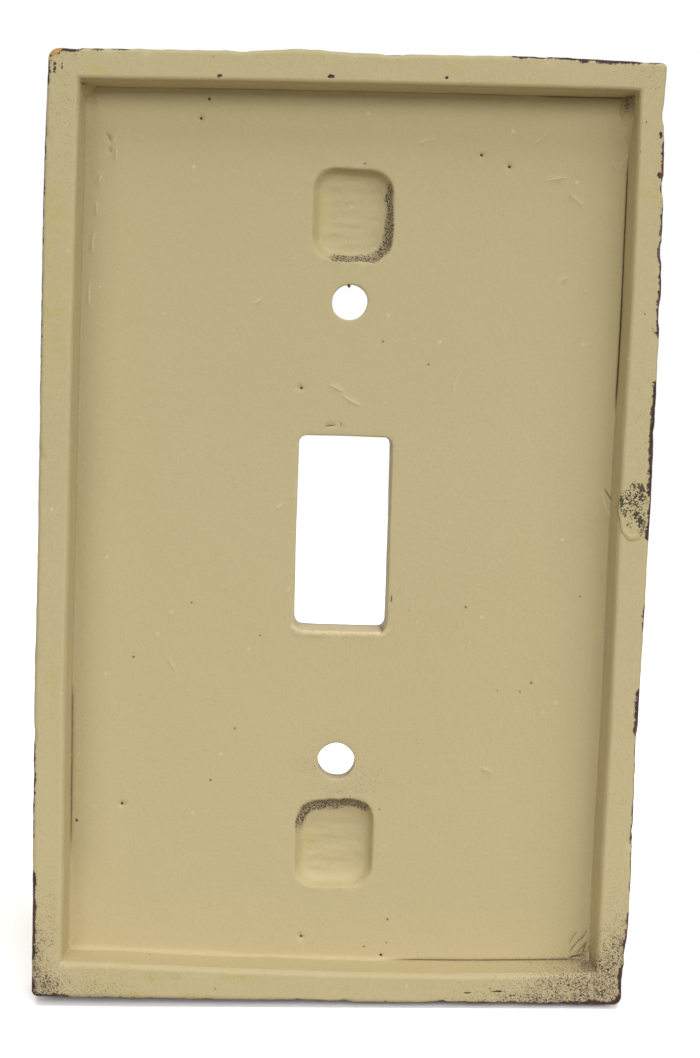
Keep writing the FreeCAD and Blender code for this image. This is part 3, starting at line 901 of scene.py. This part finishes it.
def make_patch():
    """The oval patch on the rim: a low dome whose lower edge curls up."""
    middle = (patch_low + patch_high) / 2
    around, rows = 96, 22
    share = np.repeat(1 - np.arange(rows) / rows, around)
    turn = np.tile(full_turn(around), rows)
    edge = share * patch_edge(turn)
    z = PATCH_HALF[1] * edge * np.sin(turn)
    x = PATCH_HALF[0] * edge * np.cos(turn) - PATCH_LEAN * z
    points = np.concatenate([middle + flat(x, z), [middle]])
    points[:, 1] = 0
    share, turn = np.append(share, 0), np.append(turn, 0)
    lower = ramp(-np.sin(turn), 0, 0.7) * (0.6 + 0.4 * ramp(-np.sin(turn + 0.3), 0.2, 0.9))
    height = 0.1 * ramp(share, 1, 0.85) + 0.03 * (1 - share)
    height += 0.09 * lower * stretch(share, 0.84, 0.93, 0.08)
    height += 0.03 * grain(points, 1.3, 111) * ramp(share, 1, 0.9)
    points[:, 1] = BACK_Y - PATCH_RISE - 0.1 + height
    skirt = np.concatenate([points[:around], [middle]])
    skirt[:, 1] = BACK_Y - PATCH_SKIRT
    hub, below = len(points) - 1, len(points)
    faces = ring_faces(around, rows)
    for i in range(around):
        n = (i + 1) % around
        faces += [(hub - around + i, hub - around + n, hub), (i, n, below + n, below + i),
                  (below + i, below + n, below + around)]
    points = np.concatenate([points, skirt])
    marks = patch_marks(points, np.concatenate([share, np.ones(around + 1)]), middle)
    points[:, 1] = np.minimum(points[:, 1], BACK_Y - 0.002)
    return closed_mesh("patch_painted", points, faces, marks)


# Where bare dark shows on the patch: x and z from its middle, half width, half height, how dense.
PATCH_BARE = [
    (-0.2, 1.2, 2.2, 2.9, 0.58), (-1.1, -1.4, 0.9, 1.9, 0.6), (-1.1, 2.9, 1.2, 1.2, 1),
    (-0.7, 1.6, 1, 1.6, 0.75), (0.9, 1.7, 0.9, 1.5, 0.6), (1.6, 0.9, 0.45, 1.6, 0.8),
    (1.2, -0.4, 0.7, 0.7, 0.7), (-0.3, -0.5, 0.8, 1.1, 0.8), (-0.9, -1.4, 0.8, 1.1, 0.9),
    (-1.5, -2.2, 0.5, 1.2, 0.95), (0.4, 3.2, 1.4, 0.35, 0.7), (-1.2, -3, 0.6, 0.7, 0.6),
    (0.5, -1.9, 0.5, 0.4, 0.5),
]


def patch_marks(points, share, middle):
    """Where the patch shows bare dark flecks, and the grime round its edge."""
    bare = np.zeros(len(points))
    for x, z, wide, tall, amount in PATCH_BARE:
        spot = blob(points, middle[0] + x, middle[2] + z, 1.35 * wide, 1.35 * tall)
        bare = np.maximum(bare, amount * spot)
    return {"dust": bare, "stain": np.full(len(points), 0.15), "grime_and_shade": 0.5 * ramp(share, 0.97, 1)}


# ---- materials

def colour(red, green, blue):
    """A linear colour from the 0 to 255 values it should show as."""
    shown = np.array([red, green, blue]) / 255
    linear = np.where(shown <= 0.04045, shown / 12.92, ((shown + 0.055) / 1.055) ** 2.4)
    return (*linear.tolist(), 1)


KHAKI_LIGHT = colour(201, 187, 146)
# The deeper khaki, also used as painted shade towards the top of the plate.
KHAKI_DEEP_AND_TOP_SHADE = colour(190, 178, 136)
KHAKI_FLECK = colour(214, 201, 160)
KHAKI_DULL = colour(176, 162, 122)
# The colour of the painted highlights.
PAINTED_HIGHLIGHT = colour(222, 205, 166)
# The colour of dirt, also laid on as painted shade.
DIRT_AND_SHADE = colour(74, 62, 42)
DUST = colour(112, 94, 88)
DUST_BLACK = colour(34, 30, 32)
STAIN = colour(188, 176, 92)
ANTIQUE = colour(80, 54, 46)
ANTIQUE_BLACK = colour(38, 31, 29)
ANTIQUE_RED = colour(112, 64, 52)
OCHRE = colour(206, 160, 88)
PRIMER = colour(168, 160, 150)
FLOOR_PALE = (0.36, 0.33, 0.27, 1)
FLOOR_PALER = (0.38, 0.35, 0.29, 1)
FLOOR_WHITE = (2.1, 2.1, 2.1, 1)

# Old flat paint has little sheen.
SHEEN = 0.18


class Graph:
    """Short names for the shader nodes that a material or the world is built from."""

    def __init__(self, owner):
        owner.use_nodes = True
        self.owner = owner
        self.nodes = owner.node_tree.nodes
        self.links = owner.node_tree.links
        self.place = self.add("TexCoord").outputs["Object"]

    def put(self, socket, value):
        """Set a socket to a value, or link it to another node's output."""
        if isinstance(value, bpy.types.NodeSocket):
            self.links.new(value, socket)
        else:
            socket.default_value = value

    def add(self, kind, inputs=None, **settings):
        """A new node with these settings and inputs."""
        node = self.nodes.new("ShaderNode" + kind)
        for name, value in settings.items():
            setattr(node, name, value)
        for key, value in (inputs or {}).items():
            self.put(node.inputs[key], value)
        return node

    def mark(self, name):
        """One of the numbers stored at the mesh's points."""
        return self.add("Attribute", attribute_name=name).outputs["Fac"]

    def sum(self, operation, first, second):
        """Two values put together by a math node's operation."""
        return self.add("Math", {0: first, 1: second}, operation=operation).outputs[0]

    def times(self, value, by, plus=0):
        """value x by + plus"""
        return self.add("Math", {0: value, 1: by, 2: plus}, operation="MULTIPLY_ADD").outputs[0]

    def noise(self, lump, detail=3, roughness=0.55):
        """Noise from 0 to 1 with lumps of about that many mm."""
        return self.add("TexNoise", {"Vector": self.place, "Scale": 1 / (lump * MM), "Detail": detail,
                                     "Roughness": roughness}).outputs["Fac"]

    def ramp(self, value, low, high):
        """0 at low, 1 at high, smooth between."""
        return self.add("MapRange", {"Value": value, "From Min": low, "From Max": high},
                        interpolation_type="SMOOTHSTEP").outputs["Result"]

    def mix(self, share, first, second):
        """The first colour at share 0, the second at 1."""
        return self.add("Mix", {"Factor": share, 6: first, 7: second}, data_type="RGBA").outputs[2]

    def over(self, base, tone, share, strength):
        """A tone laid over a base, where share says and as strong as strength."""
        return self.mix(self.times(share, strength), base, tone)

    def dots(self, spacing, size, density):
        """Round specks: spacing in mm, size as a share of it, density 0 to 1."""
        cells = self.add("TexVoronoi", {"Vector": self.place, "Scale": 1 / (spacing * MM)})
        split = self.add("SeparateColor", {0: cells.outputs["Color"]})
        there = self.sum("LESS_THAN", split.outputs[0], density)
        reach = self.times(split.outputs[1], size * 0.9, size * 0.5)
        disc = self.ramp(self.sum("SUBTRACT", reach, cells.outputs["Distance"]), -0.04, 0.06)
        return self.times(there, disc)

    def finish(self, base, roughness, height, depth):
        """The material, with its colour and roughness linked, and a bump of that many mm."""
        shader = self.nodes["Principled BSDF"]
        bump = self.add("Bump", {"Distance": depth * MM, "Strength": 1, "Height": height})
        for name, value in (("Specular IOR Level", SHEEN), ("Base Color", base),
                            ("Roughness", roughness), ("Normal", bump.outputs[0])):
            self.put(shader.inputs[name], value)
        return self.owner


def khaki_coat(g):
    """Khaki paint, duller towards the top as painted shade, with fine grain, stains, painted highlights,
    and dirt that in places is painted shade.
    """
    up = g.add("SeparateXYZ", {0: g.place}).outputs[2]
    # Painted shade: the khaki turns from its lighter tone low down to its deeper one towards the top, with
    # noise mixed in.
    top_shade_and_drift = g.times(g.noise(30, 3), 0.7, g.ramp(up, -0.05, 0.07))
    base = g.mix(g.ramp(top_shade_and_drift, 0.1, 1.5), KHAKI_LIGHT, KHAKI_DEEP_AND_TOP_SHADE)
    base = g.over(base, KHAKI_DULL, g.ramp(g.noise(0.42, 4, 0.8), 0.5, 0.72), 0.42)
    base = g.over(base, KHAKI_FLECK, g.ramp(g.noise(0.3, 2, 0.6), 0.6, 0.72), 0.35)
    base = g.over(base, KHAKI_FLECK, g.dots(1.7, 0.12, 0.09), 0.7)
    base = g.over(base, DIRT_AND_SHADE, g.dots(1.5, 0.09, 0.05), 0.7)
    stain = g.times(g.mark("stain"), g.ramp(g.noise(0.6, 4, 0.75), 0.44, 0.56))
    base = g.over(base, STAIN, stain, 0.8)
    # Painted highlights: the slot's lower face and edges, raised strokes, and a lit facet on a corner
    # smear.
    base = g.over(base, PAINTED_HIGHLIGHT, g.mark("pale"), g.ramp(g.noise(0.6, 4, 0.7), 0.32, 0.52))
    # Dirt darkens the khaki, and so does painted shade along the left wall's foot and in the crease at the
    # frame wall's foot.
    return g.over(base, DIRT_AND_SHADE, g.mark("grime_and_shade"), g.ramp(g.noise(0.7, 4, 0.7), 0.2, 0.48))


def dust_coat(g, base):
    """Dark dust on the khaki: fine broken specks that crowd together where it is thick."""
    density = g.times(g.mark("dust"), g.times(g.noise(2.4, 3, 0.6), 0.85, 0.78))
    present = g.ramp(density, 0.03, 0.12)
    base = g.over(base, DUST, g.ramp(density, 0.2, 1.3), 0.2)
    for lump, first, tone, strength in ((0.17, 0.715, DUST, 0.85), (0.23, 0.77, DUST_BLACK, 0.92),
                                        (0.14, 0.83, KHAKI_FLECK, 0.85)):
        specks = g.sum("SUBTRACT", g.noise(lump, 2, 0.6), g.times(density, -0.235, first))
        base = g.over(base, tone, g.times(g.ramp(specks, -0.005, 0.035), present), strength)
    return base


def antique_coat(g):
    """The dark red-brown paint of the sides and front, rubbed through to ochre in places."""
    base = g.mix(g.ramp(g.noise(1.1, 5, 0.7), 0.38, 0.62), ANTIQUE_BLACK, ANTIQUE)
    base = g.mix(g.ramp(g.noise(5, 4, 0.6), 0.52, 0.72), base, ANTIQUE_RED)
    rubbed = g.sum("ADD", g.mark("rub"), g.times(g.noise(1.1, 5, 0.7), 1.6, -0.8))
    return g.over(base, OCHRE, g.ramp(rubbed, 0.45, 0.8), 0.8)


def fleck_coat(g, base):
    """Broken flecks of bare dark filler through the khaki of the patch."""
    shown = g.sum("ADD", g.noise(0.28, 4, 0.75), g.times(g.mark("dust"), 0.3, -0.17))
    tone = g.mix(g.ramp(g.noise(1.2, 3), 0.52, 0.7), DUST_BLACK, ANTIQUE)
    return g.over(base, tone, g.ramp(shown, 0.462, 0.495), 0.92)


def painted(name, flecked=False):
    """Khaki paint over dark paint, with a broken edge between the two."""
    g = Graph(bpy.data.materials.new(name))
    edge = g.sum("ADD", g.mark("dark"), g.times(g.noise(0.6, 5, 0.8), 1.4, -0.7))
    bare = g.ramp(edge, 0.47, 0.53)
    khaki = fleck_coat(g, khaki_coat(g)) if flecked else dust_coat(g, khaki_coat(g))
    khaki = g.over(khaki, PRIMER, g.ramp(edge, 0.38, 0.47), 0.35)
    base = g.mix(bare, khaki, antique_coat(g))
    roughness = g.times(g.noise(3, 4), 0.22, 0.44)
    height = g.times(g.noise(0.45, 4, 0.6), 0.55, g.times(g.noise(1.7, 2), 0.9))
    return g.finish(base, roughness, g.times(bare, -0.9, height), 0.05)


def seen_directly(g):
    """1 for rays from the camera, or by way of gloss or glass, which show the background."""
    rays = g.add("LightPath").outputs
    seen = rays["Is Camera Ray"]
    for other in ("Is Glossy Ray", "Is Transmission Ray"):
        seen = g.sum("MAXIMUM", seen, rays[other])
    return seen


def floor_paint(name):
    """A pale floor that shows white where it is lit, and keeps the shadow."""
    g = Graph(bpy.data.materials.new(name))
    shade = g.mix(g.ramp(g.noise(60, 2), 0.3, 0.7), FLOOR_PALE, FLOOR_PALER)
    shade = g.mix(seen_directly(g), shade, FLOOR_WHITE)
    return g.finish(shade, 0.9, g.noise(2, 2), 0.01)


# ---- stage, light and camera

FLOOR_Z = -FRONT_Z - 0.45
FLOOR_RADIUS = 700
# The floor falls this much for each mm towards +X, under the plate.
FLOOR_TILT = 0.022
# Each lamp: name, direction it comes from, distance, width, height (mm) and watts.
LAMPS = [("key", Vector((-0.32, 1, 0.46)), 3000, 6600, 1300, 87),
         ("overhead", Vector((0, 0.45, 1)), 2500, 1600, 1200, 23)]
WORLD_FILL = 0.22
FILL_COLOUR = (1, 0.93, 0.82, 1)


def make_floor():
    """A round pale floor under the plate, tilted a little where the plate stands."""
    rings, around = 24, 64
    radius = np.repeat(FLOOR_RADIUS * (np.arange(1, rings + 1) / rings) ** 2, around)
    turn = np.tile(full_turn(around), rings)
    x = radius * np.cos(turn)
    drop = FLOOR_TILT * np.clip(x, -FRONT_X, FRONT_X)
    points = np.stack([x, radius * np.sin(turn), FLOOR_Z - drop], axis=1)
    floor = make_mesh("floor", points, [tuple(range(around))] + ring_faces(around, rings))
    floor.data.materials.append(floor_paint("pale_floor"))


def aim(thing, place, target):
    """Put a lamp or camera at a place, both in mm, and turn it to a target."""
    thing.location = place * MM
    thing.rotation_euler = (target - place).to_track_quat("-Z", "Y").to_euler()


def make_lamps():
    """A wide soft lamp on the camera's side, and a soft overhead one."""
    for name, direction, distance, width, height, watts in LAMPS:
        lamp = bpy.data.lights.new(name, "AREA")
        lamp.shape = "RECTANGLE"
        lamp.size, lamp.size_y = width * MM, height * MM
        lamp.energy = watts
        aim(add_object(name, lamp), direction.normalized() * distance, Vector((0, 0, 0)))


def make_world():
    """An even, slightly warm fill, which shows white itself."""
    world = bpy.data.worlds.new("surround")
    bpy.context.scene.world = world
    g = Graph(world)
    seen = seen_directly(g)
    background = g.nodes["Background"]
    strength = g.add("MapRange", {"Value": seen, "To Min": WORLD_FILL})
    g.put(background.inputs["Strength"], strength.outputs["Result"])
    g.put(background.inputs["Color"], g.mix(seen, FILL_COLOUR, (1, 1, 1, 1)))


CAMERA_DISTANCE = 260
CAMERA_AZIMUTH = math.radians(-1.03)
CAMERA_RISE = math.radians(-5.64)
CAMERA_ROLL = math.radians(1.73)
CAMERA_TARGET = Vector((-0.9, 0, 0.68))
CAMERA_LENS = 67.6


def make_camera():
    """The camera behind the plate, turned slightly about its own axis."""
    data = bpy.data.cameras.new("camera")
    data.lens, data.sensor_width = CAMERA_LENS, 36
    camera = add_object("camera", data)
    level = math.cos(CAMERA_RISE)
    forward = Vector((math.sin(CAMERA_AZIMUTH) * level, -math.cos(CAMERA_AZIMUTH) * level,
                      math.sin(CAMERA_RISE)))
    aim(camera, CAMERA_TARGET - forward * CAMERA_DISTANCE, CAMERA_TARGET)
    camera.rotation_euler.rotate_axis("Z", CAMERA_ROLL)
    bpy.context.scene.camera = camera


# ---- the scene

def place(piece, node, slot, material):
    """Give a piece its material, and let it stand for its CAD node."""
    piece.data.materials.append(material)
    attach(piece, "root")
    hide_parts(node)


bpy.context.scene.view_settings.view_transform = "Standard"
make_camera()
make_lamps()
make_world()
make_floor()
place(make_frame(), "rim_frame", "painted_frame", painted("painted_frame"))
place(make_panel(), "face_panel", "painted_panel", painted("painted_panel"))
place(make_corner_filler(), "corner_filler", "filler", painted("painted_filler"))
place(make_patch(), "filler_patch", "filler", painted("painted_patch", flecked=True))
